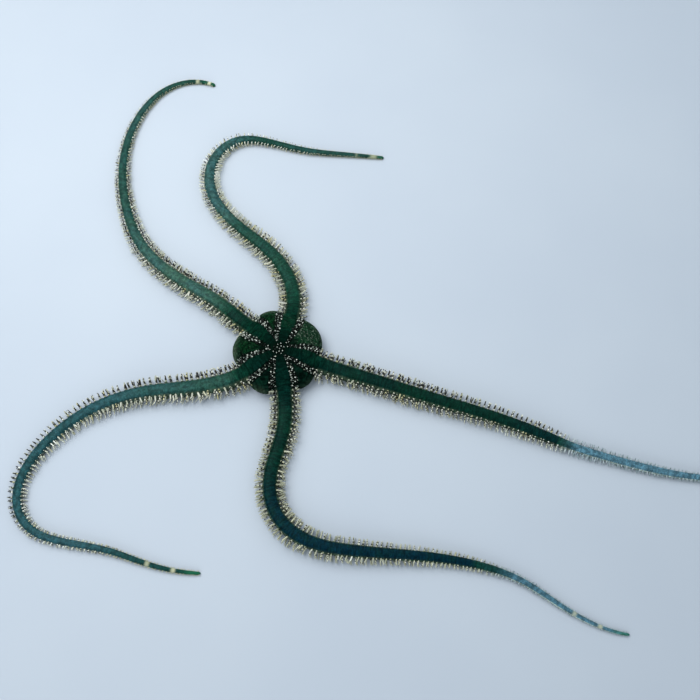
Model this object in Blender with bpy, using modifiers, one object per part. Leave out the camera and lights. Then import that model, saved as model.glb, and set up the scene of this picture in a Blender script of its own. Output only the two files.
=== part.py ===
"""A green brittle star at life size, lying on a level floor with its five long arms spread and curled.

The body is a puffy five-lobed disc with a mouth and five jaws beneath. Each arm is a tapering bar with a flat
underside and a flattish top, and a fringe of spines on both sides. The arms are parted by thin cuts into lengths.
Metres, +Z up, the floor at z = 0, and the origin under the middle of the whole spread.
"""

import math

import bmesh
import bpy
from mathutils import Vector

MM = 0.001

# Where the middle of the disc stands, so that the whole spread is centred over the origin
DISC_X = -52.9
DISC_Y = -16.9

# Disc
DISC_RADIUS = 17.2  # where an arm leaves it
LOBE_BULGE = 2.3  # how much further the lobes between the arms reach
DISC_LEAN = 1.1  # how much further the whole outline reaches towards DISC_LEAN_WAY, between arm_a and arm_e
DISC_LEAN_WAY = 135.0
DISC_TOP = 10.6
DISC_RIM_Z = 4.6  # height of the widest part
DISC_UNDER_Z = 0.9  # the disc's own underside, held off the floor by the arms
ARM_RIDGE = 1.0  # how far an arm's band stands up from the disc's top
LOBE_PUFF = 0.6
DISC_AROUND = 50
DISC_ROWS = 12

# Mouth and jaws
MOUTH_RADIUS = 5.6
MOUTH_DEPTH_Z = 3.9
JAW_IN = 1.1
JAW_OUT = 5.2
JAW_BOTTOM_Z = 0.55
JAW_TOP_Z = 3.6
JAW_SLIT = 0.9  # open width between two jaws
JAW_EDGE = 0.3

# Arms
ARM_WIDTH = 7.9  # at the disc's middle, if it ran that far
ARM_TIP_WIDTH = 1.2
ARM_TAPER = 0.90
ARM_FLATNESS = 0.8  # height over width
ROOT_LIFT = 2.9  # how much taller an arm is where it runs up into the disc
LENGTHS_PER_ARM = 5
ROOT_START = 7.0
ROOT_END = 20.0
CUT = 0.3
ROWS_PER_LENGTH = (6, 6, 5, 5, 5)

# Spines
SPINE_LONG = 3.6
SPINE_SHORT = 0.55
SPINE_BASE = 1.7
SPINE_BASE_TIP = 0.9
SPINE_POINT = 0.62  # width of the blunt end
SPINE_LEAN = 16.0  # degrees towards the arm's tip

# The course of each arm: how far along it from the disc's middle (mm), and which way it points there (degrees)
ARMS = {
    "a": (204, [(0, 137), (30, 140), (50, 148.5), (73, 136), (93, 115), (119, 99), (149, 76), (169, 55), (184, 26), (204, -26)]),
    "b": (201, [(0, 71), (20, 83), (39, 115), (62, 139), (86, 126), (106, 89), (124, 43), (138, -4), (152, -16), (175, -5), (201, -6)]),
    "c": (222, [(0, -15), (30, -17), (55, -18), (80, -17), (100, -20), (118, -23), (135, -18), (160, -14), (180, -6), (222, 6)]),
    "d": (216, [(0, -80), (23, -87), (44, -107), (61, -81), (78, -38), (95, -11), (115, -4), (135, -6), (160, -17), (180, -34), (200, -26), (216, -8)]),
    "e": (216, [(0, -144), (18, -155), (32, -169), (50, -175.5), (69, -163), (93, -141), (113, -121), (128, -91), (142, -46), (154, -16), (170, -10), (188, -19), (216, -2)]),
}

# How wide each arm is beside the common taper: (distance from the disc's middle, share); past 120 mm arm_c has been
# lost and grown again, so it is suddenly thinner there, and arm_e is slim from its loop on
WIDTH_SHARES = {
    "a": [(0, 1.0), (50, 1.04), (80, 1.03), (105, 1.0), (125, 1.09), (145, 1.2), (165, 1.34), (204, 1.4)],
    "b": [(0, 1.0), (25, 1.04), (50, 1.05), (80, 1.02), (100, 1.13), (113, 1.22), (125, 1.23), (138, 1.12), (150, 1.06), (163, 1.16), (201, 1.3)],
    "c": [(0, 1.0), (60, 1.03), (110, 1.08), (118, 1.04), (127, 0.9), (140, 0.92), (160, 1.04), (222, 1.07)],
    "d": [(0, 1.0), (60, 1.06), (100, 1.16), (130, 1.12), (150, 1.06), (165, 0.98), (216, 0.98)],
    "e": [(0, 1.0), (25, 1.08), (45, 1.03), (70, 0.98), (100, 0.97), (150, 0.98), (180, 1.1), (216, 1.14)],
}

SKIN_GREEN = (0.035, 0.105, 0.075, 1.0)
DISC_GREEN = (0.018, 0.075, 0.035, 1.0)
JAW_PALE = (0.42, 0.44, 0.33, 1.0)


def smoothstep(lo, hi, v):
    u = min(1.0, max(0.0, (v - lo) / (hi - lo)))
    return u * u * (3 - 2 * u)


def heading(keys, s):
    """The direction at distance s: a smooth curve through the (distance, direction) pairs."""
    i = 0
    while i < len(keys) - 2 and s > keys[i + 1][0]:
        i += 1
    (s0, h0), (s1, h1) = keys[i], keys[i + 1]
    before = keys[max(i - 1, 0)]
    after = keys[min(i + 2, len(keys) - 1)]
    m0 = (h1 - before[1]) / (s1 - before[0])
    m1 = (after[1] - h0) / (after[0] - s0)
    d = s1 - s0
    u = (s - s0) / d
    return (
        (2 * u**3 - 3 * u**2 + 1) * h0
        + (u**3 - 2 * u**2 + u) * d * m0
        + (3 * u**2 - 2 * u**3) * h1
        + (u**3 - u**2) * d * m1
    )


def course(keys, length, step=0.25):
    """Walks along the arm from the disc's middle; each entry is x, y and direction in radians."""
    x = y = 0.0
    line = []
    for i in range(int(round(length / step)) + 1):
        s = i * step
        line.append((x, y, math.radians(heading(keys, s))))
        h = math.radians(heading(keys, min(s + step / 2, length)))
        x += step * math.cos(h)
        y += step * math.sin(h)
    return line


def place_on(line, s, step=0.25):
    f = min(max(s / step, 0.0), len(line) - 1.0)
    i = min(int(f), len(line) - 2)
    u = f - i
    return tuple(a + (b - a) * u for a, b in zip(line[i], line[i + 1]))


def share_at(keys, s):
    for (s0, v0), (s1, v1) in zip(keys, keys[1:]):
        if s <= s1:
            return v0 + (v1 - v0) * (s - s0) / (s1 - s0)
    return keys[-1][1]


def body_width(key, s):
    t = s / ARMS[key][0]
    return (ARM_WIDTH * (1 - t) ** ARM_TAPER + ARM_TIP_WIDTH * t) * share_at(WIDTH_SHARES[key], s)


def spine_length(t):
    return SPINE_LONG + (SPINE_SHORT - SPINE_LONG) * smoothstep(0.25, 0.95, t)


def section(width, height, double_sided_rows):
    """Half outlines of the arm, flat below: the right side from the floor up, then mirrored to the left."""
    if double_sided_rows:
        right = [(0.36, 0.0), (0.50, 0.30), (0.47, 0.62), (0.25, 1.0)]
    else:
        right = [(0.36, 0.0), (0.49, 0.52), (0.24, 1.0)]
    left = [(-a, b) for a, b in reversed(right)]
    return [(a * width, b * height) for a, b in right + left]


def mesh_object(name, bm, collection):
    mesh = bpy.data.meshes.new(name)
    bmesh.ops.recalc_face_normals(bm, faces=bm.faces)
    bm.to_mesh(mesh)
    bm.free()
    obj = bpy.data.objects.new(name, mesh)
    collection.objects.link(obj)
    return obj


def arm_length_mesh(key, line, s0, s1, rows, double, origin, spines=True):
    """One length of arm as a loft of cross sections, with spines drawn out of narrow bands of its side faces.

    The mesh is local: the origin is (x, y, direction) of the place where the object stands.
    """
    bm = bmesh.new()
    length = ARMS[key][0]
    pitch = (s1 - s0) / rows
    stops = [(s0, False)]
    for i in range(rows):
        c = s0 + (i + 0.5) * pitch
        b = SPINE_BASE + (SPINE_BASE_TIP - SPINE_BASE) * c / length
        stops += [(c - b / 2, spines), (c + b / 2, False)]
    stops.append((s1, False))
    ox, oy, oh = origin
    ch, sh = math.cos(-oh), math.sin(-oh)
    rings = []
    for s, _ in stops:
        x, y, h = place_on(line, s)
        w = body_width(key, s)
        ring = []
        for across, up in section(w, ARM_FLATNESS * w + ROOT_LIFT * smoothstep(26.0, 11.0, s), double):
            # +across is the right-hand side, looking along the arm
            px = x + across * math.sin(h) - ox
            py = y - across * math.cos(h) - oy
            ring.append(bm.verts.new((px * ch - py * sh, px * sh + py * ch, up)))
        rings.append(ring)
    n = len(rings[0])
    side = n // 2 - 2 if double else 1
    right_faces = list(range(side))
    left_faces = [n - 2 - i for i in right_faces]
    drawn = []
    for k in range(len(rings) - 1):
        a, b = rings[k], rings[k + 1]
        for i in range(n):
            j = (i + 1) % n
            face = bm.faces.new((a[i], a[j], b[j], b[i]))
            if stops[k][1] and (i in right_faces or i in left_faces):
                mid = (stops[k][0] + stops[k + 1][0]) / 2
                drawn.append((face, mid, -1 if i in right_faces else 1, right_faces.index(i) if i in right_faces else left_faces.index(i)))
    bm.faces.new(list(reversed(rings[0])))
    bm.faces.new(rings[-1])
    bm.normal_update()
    for face, s, hand, level in drawn:
        t = s / length
        x, y, h = place_on(line, s)
        out = h - oh + hand * math.radians(90 - SPINE_LEAN)
        rise = math.radians((3, 24)[level] if double else 10)
        way = Vector((math.cos(out) * math.cos(rise), math.sin(out) * math.cos(rise), math.sin(rise)))
        made = bmesh.ops.extrude_discrete_faces(bm, faces=[face])["faces"][0]
        centre = made.calc_center_median()
        target = centre + way * spine_length(t)
        target.z = max(target.z, SPINE_POINT * 0.55)
        along = Vector((math.cos(h - oh), math.sin(h - oh), 0.0))
        up = way.cross(along).normalized()
        if up.z < 0:
            up.negate()
        for v in made.verts:
            off = v.co - centre
            v.co = (
                target
                + along * math.copysign(SPINE_POINT / 2, off.dot(along))
                + up * math.copysign(SPINE_POINT / 2, off.z)
            )
    bmesh.ops.scale(bm, vec=(MM, MM, MM), verts=bm.verts)
    return bm


def around_the_disc(angle, arm_angles):
    """0 in line with an arm, 1 midway between two arms, and the distance to the nearest arm in radians."""
    gaps = []
    for a in arm_angles:
        gaps.append((angle - a + math.pi) % (2 * math.pi) - math.pi)
    ahead = min(-g for g in gaps if g <= 0) if any(g <= 0 for g in gaps) else 2 * math.pi - max(gaps)
    behind = min(g for g in gaps if g > 0) if any(g > 0 for g in gaps) else 2 * math.pi - max(-g for g in gaps)
    near = min(ahead, behind)
    return math.sin(math.pi / 2 * min(1.0, 2 * near / (ahead + behind))) ** 2, near


def disc_mesh(arm_angles):
    """A sphere pressed into the lobed disc: domed above, with a round rim, and flat below."""
    bm = bmesh.new()
    bmesh.ops.create_uvsphere(bm, u_segments=DISC_AROUND, v_segments=DISC_ROWS, radius=1.0)
    for v in bm.verts:
        angle = math.atan2(v.co.y, v.co.x)
        flat = min(1.0, math.hypot(v.co.x, v.co.y))
        rise = max(-1.0, min(1.0, v.co.z))
        lobe, near = around_the_disc(angle, arm_angles)
        reach = DISC_RADIUS + LOBE_BULGE * lobe**0.7 + DISC_LEAN * math.cos(angle - math.radians(DISC_LEAN_WAY))
        if rise >= 0:
            r = reach * flat**0.9
            share = r / reach
            z = DISC_RIM_Z + (DISC_TOP - DISC_RIM_Z) * rise**0.95
            ridge = math.exp(-((r * math.sin(min(near, math.pi / 2)) / 3.4) ** 4)) if near < math.pi / 2 else 0.0
            z += ARM_RIDGE * ridge * smoothstep(0.3, 0.6, share) * rise
            z += LOBE_PUFF * lobe * smoothstep(0.35, 0.7, share) * smoothstep(1.0, 0.9, share)
        else:
            r = reach * flat**0.6
            z = max(DISC_UNDER_Z, DISC_RIM_Z - (DISC_RIM_Z - DISC_UNDER_Z) * 1.5 * -rise)
        v.co = Vector((r * math.cos(angle), r * math.sin(angle), z))
    bmesh.ops.scale(bm, vec=(MM, MM, MM), verts=bm.verts)
    return bm


def mouth_cutter(arm_angles):
    """The hollow of the mouth: a ten-cornered plug whose corners run out a little along the arms."""
    bm = bmesh.new()
    corners = []
    ordered = sorted(arm_angles)
    for i, a in enumerate(ordered):
        nxt = ordered[(i + 1) % len(ordered)] + (2 * math.pi if i + 1 == len(ordered) else 0.0)
        corners.append((MOUTH_RADIUS * 1.1, a))
        corners.append((MOUTH_RADIUS, (a + nxt) / 2))
    ring = [bm.verts.new((r * MM * math.cos(a), r * MM * math.sin(a), -2 * MM)) for r, a in corners]
    face = bm.faces.new(ring)
    up = bmesh.ops.extrude_face_region(bm, geom=[face])["geom"]
    bmesh.ops.translate(
        bm, vec=(0, 0, (MOUTH_DEPTH_Z + 2) * MM), verts=[g for g in up if isinstance(g, bmesh.types.BMVert)]
    )
    return bm


def jaw_mesh(half_angle):
    """A wedge that points at the mouth's middle, made from a cube; local +X runs outward."""
    bm = bmesh.new()
    bmesh.ops.create_cube(bm, size=1.0)
    for v in bm.verts:
        r = JAW_OUT if v.co.x > 0 else JAW_IN
        half = r * math.sin(half_angle) - JAW_SLIT / 2 / math.cos(half_angle)
        half = max(half, 0.35)
        reach = r if v.co.x < 0 else r * math.cos(half_angle) + 0.3
        v.co = Vector(
            (
                reach * MM,
                math.copysign(half, v.co.y) * MM,
                (JAW_TOP_Z if v.co.z > 0 else (JAW_BOTTOM_Z + (0.25 if v.co.x < 0 else 0.0))) * MM,
            )
        )
    return bm


def material(name, colour, roughness):
    mat = bpy.data.materials.new(name)
    mat.use_nodes = True
    shader = mat.node_tree.nodes["Principled BSDF"]
    shader.inputs["Base Color"].default_value = colour
    shader.inputs["Roughness"].default_value = roughness
    shader.inputs["Metallic"].default_value = 0.0
    return mat


def main():
    for obj in list(bpy.data.objects):
        bpy.data.objects.remove(obj, do_unlink=True)

    star = bpy.data.collections.new("brittle_star")
    cutters = bpy.data.collections.new("cutters")
    for c in (star, cutters):
        bpy.context.scene.collection.children.link(c)
    cutters.hide_render = True

    middle = bpy.data.objects.new("brittle_star", None)
    middle.location = (DISC_X * MM, DISC_Y * MM, 0)
    star.objects.link(middle)

    lines = {k: course(keys, length) for k, (length, keys) in ARMS.items()}
    rim_angles = []
    for line in lines.values():
        x, y, _ = place_on(line, DISC_RADIUS)
        rim_angles.append(math.atan2(y, x))

    disc = mesh_object("disc", disc_mesh(rim_angles), star)
    disc.parent = middle
    disc.data.materials.append(material("disc_green", DISC_GREEN, 0.55))
    disc.data.shade_smooth()

    # Each arm's root under the disc and just past its rim is one piece with the disc
    for k in ARMS:
        root = mesh_object(
            "cut_root_" + k,
            arm_length_mesh(k, lines[k], ROOT_START, ROOT_END - CUT / 2, 1, True, (0, 0, 0), spines=False),
            cutters,
        )
        root.parent = middle
        root.hide_render = True
        root.display_type = "WIRE"
        join = disc.modifiers.new("join_root_" + k, "BOOLEAN")
        join.operation = "UNION"
        join.solver = "EXACT"
        join.object = root

    plug = mesh_object("cut_mouth", mouth_cutter(rim_angles), cutters)
    plug.parent = middle
    plug.hide_render = True
    plug.display_type = "WIRE"
    cut = disc.modifiers.new("cut_mouth", "BOOLEAN")
    cut.operation = "DIFFERENCE"
    cut.solver = "EXACT"
    cut.object = plug

    ordered = sorted(rim_angles)
    for i, a in enumerate(ordered):
        nxt = ordered[(i + 1) % 5] + (2 * math.pi if i == 4 else 0.0)
        jaw = mesh_object("jaw_%d" % (i + 1), jaw_mesh((nxt - a) / 2), star)
        jaw.parent = middle
        jaw.rotation_euler = (0, 0, (a + nxt) / 2)
        jaw.data.materials.append(material("jaw_pale_%d" % (i + 1), JAW_PALE, 0.5))
        edge = jaw.modifiers.new("round_edges", "BEVEL")
        edge.width = JAW_EDGE * MM
        edge.segments = 1

    for k, (length, _) in ARMS.items():
        step = (length - ROOT_END) / LENGTHS_PER_ARM
        for i in range(LENGTHS_PER_ARM):
            s0 = ROOT_END + i * step + CUT / 2
            s1 = ROOT_END + (i + 1) * step - (CUT / 2 if i < LENGTHS_PER_ARM - 1 else 0.0)
            at = place_on(lines[k], s0)
            name = "arm_%s_%d" % (k, i + 1)
            piece = mesh_object(name, arm_length_mesh(k, lines[k], s0, s1, ROWS_PER_LENGTH[i], i < 3, at), star)
            piece.parent = middle
            piece.location = (at[0] * MM, at[1] * MM, 0)
            piece.rotation_euler = (0, 0, at[2])
            piece.data.materials.append(material(name + "_green", SKIN_GREEN, 0.5))


main()
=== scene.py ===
import math

import bmesh
import bpy
import numpy as np
from mathutils import Matrix, Vector, kdtree, noise


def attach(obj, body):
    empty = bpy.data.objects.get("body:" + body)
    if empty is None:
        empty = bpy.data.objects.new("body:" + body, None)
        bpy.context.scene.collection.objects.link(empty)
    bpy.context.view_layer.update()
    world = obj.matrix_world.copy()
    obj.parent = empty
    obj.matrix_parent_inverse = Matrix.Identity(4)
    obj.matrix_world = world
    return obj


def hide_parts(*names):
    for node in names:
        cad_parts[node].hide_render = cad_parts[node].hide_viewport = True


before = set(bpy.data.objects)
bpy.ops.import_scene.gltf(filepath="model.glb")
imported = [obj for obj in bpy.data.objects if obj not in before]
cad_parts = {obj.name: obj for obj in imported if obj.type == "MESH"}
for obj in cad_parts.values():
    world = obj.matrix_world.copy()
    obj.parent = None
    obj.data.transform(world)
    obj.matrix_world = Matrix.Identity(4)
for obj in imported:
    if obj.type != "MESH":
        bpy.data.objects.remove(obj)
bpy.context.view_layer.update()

scene = bpy.context.scene

# ---------------------------------------------------------------------------------------------------------------------
# Camera: looks down at 68 degrees
# ---------------------------------------------------------------------------------------------------------------------
MM = 0.001

cam_data = bpy.data.cameras.new("camera")
cam = bpy.data.objects.new("camera", cam_data)
scene.collection.objects.link(cam)
cam.location = (-0.0231, -0.1502, 0.3389)
cam.rotation_euler = (math.radians(22.0), 0.0, 0.0)
cam_data.sensor_width = 36.0
cam_data.lens = 43.456
cam_data.clip_start = 0.01
cam_data.clip_end = 20.0
scene.camera = cam
scene.view_settings.view_transform = "Standard"
scene.view_settings.look = "None"

# ---------------------------------------------------------------------------------------------------------------------
# The animal's plan, in millimetres from the middle of the disc, as in the CAD
# ---------------------------------------------------------------------------------------------------------------------
DISC_X, DISC_Y = -52.9, -16.9
DISC_RADIUS = 17.2
LOBE_BULGE = 2.3
DISC_LEAN = 1.1
DISC_LEAN_WAY = math.radians(135.0)
DISC_TOP = 10.6
DISC_RIM_Z = 4.6
DISC_UNDER_Z = 1.0
MOUTH_RADIUS = 5.6
ARM_WIDTH = 7.9
ARM_TIP_WIDTH = 1.2
ARM_TAPER = 0.90
SPINE_LONG = 3.6
SPINE_SHORT = 0.55
AROUND = 30  # points round an arm
ROOT_FROM = 7.0
WELD_NEAR = 30.0

ARMS = {
    "a": (204, [(0, 137), (30, 140), (50, 148.5), (73, 136), (93, 115), (119, 99), (149, 76), (169, 55), (184, 26), (204, -26)]),
    "b": (201, [(0, 71), (20, 83), (39, 115), (62, 139), (86, 126), (106, 89), (124, 43), (138, -4), (152, -16), (175, -5), (201, -6)]),
    "c": (222, [(0, -15), (30, -17), (55, -18), (80, -17), (100, -20), (118, -23), (135, -18), (160, -14), (180, -6), (222, 6)]),
    "d": (216, [(0, -80), (23, -87), (44, -107), (61, -81), (78, -38), (95, -11), (115, -4), (135, -6), (160, -17), (180, -34), (200, -26), (216, -8)]),
    "e": (216, [(0, -144), (18, -155), (32, -169), (50, -175.5), (69, -163), (93, -141), (113, -121), (128, -91), (142, -46), (154, -16), (170, -10), (188, -19), (216, -2)]),
}

# How wide each arm is beside the common taper: (distance from the disc's middle, share)
WIDTH_SHARES = {
    "a": [(0, 1.0), (50, 1.04), (80, 1.03), (105, 1.0), (125, 1.09), (145, 1.2), (165, 1.34), (204, 1.4)],
    "b": [(0, 1.0), (25, 1.04), (50, 1.05), (80, 1.02), (100, 1.13), (113, 1.22), (125, 1.23), (138, 1.12), (150, 1.06), (163, 1.16), (201, 1.3)],
    "c": [(0, 1.0), (60, 1.03), (110, 1.08), (118, 1.04), (127, 0.9), (140, 0.92), (160, 1.04), (222, 1.07)],
    "d": [(0, 1.0), (60, 1.06), (100, 1.16), (130, 1.12), (150, 1.06), (165, 0.98), (216, 0.98)],
    "e": [(0, 1.0), (25, 1.08), (45, 1.03), (70, 0.98), (100, 0.97), (150, 0.98), (180, 1.1), (216, 1.14)],
}

# Half the width of the green band along each arm's back, as a share of the arm's width
BAND_SHARES = {
    "a": [(0, 0.340), (55, 0.360), (72, 0.40), (88, 0.46), (204, 0.50)],
    "b": [(0, 0.345), (25, 0.365), (50, 0.405), (76, 0.42), (88, 0.46), (110, 0.50), (201, 0.50)],
    "c": [(0, 0.358), (60, 0.370), (85, 0.385), (112, 0.405), (125, 0.42), (222, 0.43)],
    "d": [(0, 0.360), (60, 0.380), (100, 0.372), (216, 0.40)],
    "e": [(0, 0.345), (50, 0.365), (78, 0.42), (100, 0.46), (150, 0.44), (216, 0.43)],
}
# How many of the spines carry a dark mark, along each side (-1 left, 1 right) of each arm
MARKED = {
    ("a", -1): [(0, 1.0), (18, 0.80), (30, 0.60), (60, 0.55), (74, 0.70), (86, 0.90), (115, 0.95), (150, 0.75), (204, 0.3)],
    ("a", 1): [(0, 1.0), (20, 0.95), (32, 0.88), (55, 0.80), (80, 0.90), (115, 0.90), (150, 0.55), (204, 0.2)],
    ("b", -1): [(0, 1.0), (16, 0.70), (35, 0.35), (60, 0.20), (72, 0.30), (90, 0.65), (150, 0.65), (201, 0.4)],
    ("b", 1): [(0, 1.0), (18, 0.65), (35, 0.55), (55, 0.40), (75, 0.45), (90, 0.25), (201, 0.2)],
    ("c", -1): [(0, 1.0), (118, 1.0), (130, 0.80), (180, 0.60), (222, 0.4)],
    ("c", 1): [(0, 1.0), (20, 0.90), (34, 0.85), (50, 0.92), (80, 1.0), (118, 1.0), (126, 0.4), (222, 0.3)],
    ("d", -1): [(0, 1.0), (34, 0.85), (50, 0.50), (70, 0.38), (110, 0.40), (150, 0.60), (216, 0.6)],
    ("d", 1): [(0, 0.9), (34, 0.85), (50, 0.50), (75, 0.30), (110, 0.25), (216, 0.2)],
    ("e", -1): [(0, 0.95), (20, 0.80), (36, 0.55), (130, 0.45), (150, 0.35), (216, 0.2)],
    ("e", 1): [(0, 1.0), (135, 1.0), (148, 0.75), (165, 0.35), (216, 0.2)],
}
# Where the spines are straw-coloured
STRAW = {
    "a": [(0, 0.10), (204, 0.15)],
    "b": [(0, 0.15), (201, 0.15)],
    "c": [(0, 0.25), (100, 0.25), (122, 0.0)],
    "d": [(0, 0.20), (30, 0.35), (44, 0.80), (90, 0.85), (150, 0.80)],
    "e": [(0, 0.10), (216, 0.15)],
}
# How many of the marks run on along the spine, on the side (-1 left, 1 right) where they do
RUNNING = {
    ("a", 1): [(40, 0.0), (60, 0.08), (110, 0.15), (150, 0.0)],
    ("b", -1): [(75, 0.0), (90, 0.25), (150, 0.25), (180, 0.0)],
    ("c", -1): [(0, 0.40), (70, 0.50), (118, 0.55), (126, 0.15), (180, 0.0)],
    ("e", 1): [(0, 0.40), (30, 0.60), (98, 0.75), (112, 0.80), (132, 0.70), (150, 0.0)],
    ("e", -1): [(100, 0.0), (115, 0.20), (130, 0.20), (142, 0.0)],
}

rng = np.random.default_rng(20)


def smooth(lo, hi, v):
    u = np.clip((np.asarray(v, float) - lo) / (hi - lo), 0.0, 1.0)
    return u * u * (3 - 2 * u)


def heading(keys, s):
    i = 0
    while i < len(keys) - 2 and s > keys[i + 1][0]:
        i += 1
    (s0, h0), (s1, h1) = keys[i], keys[i + 1]
    before = keys[max(i - 1, 0)]
    after = keys[min(i + 2, len(keys) - 1)]
    m0 = (h1 - before[1]) / (s1 - before[0])
    m1 = (after[1] - h0) / (after[0] - s0)
    d = s1 - s0
    u = (s - s0) / d
    return (
        (2 * u**3 - 3 * u**2 + 1) * h0
        + (u**3 - 2 * u**2 + u) * d * m0
        + (3 * u**2 - 2 * u**3) * h1
        + (u**3 - u**2) * d * m1
    )


def course(keys, length, step=0.25):
    x = y = 0.0
    line = []
    for i in range(int(round(length / step)) + 1):
        s = i * step
        line.append((s, x, y, math.radians(heading(keys, s))))
        h = math.radians(heading(keys, min(s + step / 2, length)))
        x += step * math.cos(h)
        y += step * math.sin(h)
    return np.array(line)


def body_width(key, s):
    t = np.clip(np.asarray(s, float) / ARMS[key][0], 0.0, 1.0)
    return (ARM_WIDTH * (1 - t) ** ARM_TAPER + ARM_TIP_WIDTH * t) * np.interp(s, *np.array(WIDTH_SHARES[key]).T)


def spine_length(t):
    return SPINE_LONG + (SPINE_SHORT - SPINE_LONG) * smooth(0.25, 0.95, t)


class Arm:
    """One arm: its middle line, and where each of its joints (segments) begins."""

    def __init__(self, key, length, keys):
        self.key = key
        self.length = float(length)
        self.line = course(keys, length)
        cuts = [ROOT_FROM - 0.9]
        while cuts[-1] < length - 2.0:
            cuts.append(cuts[-1] + 2.35 * (1 - 0.45 * (cuts[-1] / length) ** 1.2))
        cuts = np.array(cuts)
        self.cuts = cuts[0] + (cuts - cuts[0]) * (length - 0.9 - cuts[0]) / (cuts[-1] - cuts[0])

    def place(self, s):
        s = np.asarray(s, float)
        S = self.line[:, 0]
        return tuple(np.interp(s, S, self.line[:, i]) for i in (1, 2, 3))

    def joint_at(self, s):
        """A number that grows by one at each segment; before the first it goes on at the same pace."""
        s = np.asarray(s, float)
        n = np.arange(len(self.cuts))
        pace = self.cuts[1] - self.cuts[0]
        inside = np.interp(s, self.cuts, n)
        return np.where(s < self.cuts[0], (s - self.cuts[0]) / pace + 100.0, inside + 100.0)


arms = {k: Arm(k, length, keys) for k, (length, keys) in ARMS.items()}
rim_angles = []
for arm in arms.values():
    x, y, _ = arm.place(DISC_RADIUS)
    rim_angles.append(math.atan2(float(y), float(x)))
rim_sorted = np.array(sorted(rim_angles))


def lobe_and_near(angle):
    """1 midway between two arms and 0 in line with one; and the distance to the nearest arm in radians."""
    a = np.asarray(angle)[..., None]
    gap = (a - rim_sorted) % (2 * np.pi)
    behind = gap.min(-1)
    ahead = (2 * np.pi - gap).min(-1)
    near = np.minimum(ahead, behind)
    return np.sin(np.pi / 2 * np.minimum(1.0, 2 * near / (ahead + behind))) ** 2, near


root_lines = {k: a.line[a.line[:, 0] <= 26.0] for k, a in arms.items()}


def disc_reach(angle, lobe):
    """How far the disc's outline is from its middle."""
    return DISC_RADIUS + LOBE_BULGE * lobe**0.7 + DISC_LEAN * np.cos(angle - DISC_LEAN_WAY)


def on_the_arms(x, y):
    """For points near the disc: the distance along the nearest arm's middle line, and sideways from it."""
    x, y = np.asarray(x, float), np.asarray(y, float)
    best = np.full(x.shape, 1e9)
    along = np.zeros(x.shape)
    side = np.zeros(x.shape)
    which = np.zeros(x.shape, int)
    for n, line in enumerate(root_lines.values()):
        dx = x[..., None] - line[:, 1]
        dy = y[..., None] - line[:, 2]
        d2 = dx**2 + dy**2
        i = d2.argmin(-1)
        near = np.take_along_axis(d2, i[..., None], -1)[..., 0]
        h = line[i, 3]
        ex = np.take_along_axis(dx, i[..., None], -1)[..., 0]
        ey = np.take_along_axis(dy, i[..., None], -1)[..., 0]
        better = near < best
        best = np.where(better, near, best)
        along = np.where(better, line[i, 0] + ex * np.cos(h) + ey * np.sin(h), along)
        side = np.where(better, ex * np.sin(h) - ey * np.cos(h), side)
        which = np.where(better, n, which)
    return along, side, which


def band_half(r):
    """Half the width of the green band that runs from an arm up over the disc."""
    return np.minimum(2.95, 0.95 + 0.165 * np.asarray(r, float))


def row_width(r):
    return 1.55 + 0.150 * np.clip(np.asarray(r, float) - 4.0, 0.0, 13.0)


def disc_masks(x, y):
    """Shares of band, spinelet row and lobe at a place on the disc's top."""
    r = np.hypot(x, y)
    along, side, which = on_the_arms(x, y)
    d = np.abs(side)
    b, w = band_half(r), row_width(r)
    band = (1 - smooth(b - 0.22, b + 0.22, d)) * smooth(2.6, 4.2, r)
    row = smooth(b - 0.1, b + 0.3, d) * (1 - smooth(b + w - 0.3, b + w + 0.35, d)) * smooth(2.9, 4.2, r)
    return r, along, side, which, band, row


def wobble(x, y, z, size, seed):
    """Smooth noise, -1 to 1, with features about size millimetres across."""
    flat = np.stack([np.ravel(x), np.ravel(y), np.ravel(z)], -1) / size + seed
    out = np.array([noise.noise(Vector(p)) for p in flat])
    return out.reshape(np.shape(x))


def disc_top(x, y, fine=True):
    angle = np.arctan2(y, x)
    lobe, near = lobe_and_near(angle)
    reach = disc_reach(angle, lobe)
    r, along, side, which, band, row = disc_masks(x, y)
    share = np.clip(r / reach, 0.0, 1.0)
    flat = share ** (1 / 0.9)
    rise = np.sqrt(np.clip(1 - flat**2, 0.0, 1.0))
    z = DISC_RIM_Z + (DISC_TOP - DISC_RIM_Z) * rise**0.95
    ridge = np.where(near < np.pi / 2, np.exp(-((r * np.sin(np.minimum(near, np.pi / 2)) / 3.3) ** 4)), 0.0)
    z = z + 0.45 * ridge * smooth(0.25, 0.6, share) * rise
    z = z + 0.6 * lobe * smooth(0.35, 0.7, share) * smooth(1.0, 0.9, share)
    keep = smooth(1.0, 0.93, share)
    z = z + (0.42 * band - 0.30 * row) * keep
    if fine:
        q = np.zeros(x.shape)
        for n, a in enumerate(arms.values()):
            q = np.where(which == n, a.joint_at(along), q)
        ph = q - np.floor(q)
        m = np.minimum(ph, 1 - ph)
        z = z - 0.04 * band * np.exp(-((m / 0.09) ** 2)) * keep
        z = z + 0.10 * wobble(x, y, z * 0, 2.3, 5.0) * (1 - band) * keep
        z = z + 0.05 * wobble(x, y, z * 0, 0.9, 9.0) * (1 - band) * keep
    return z


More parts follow.
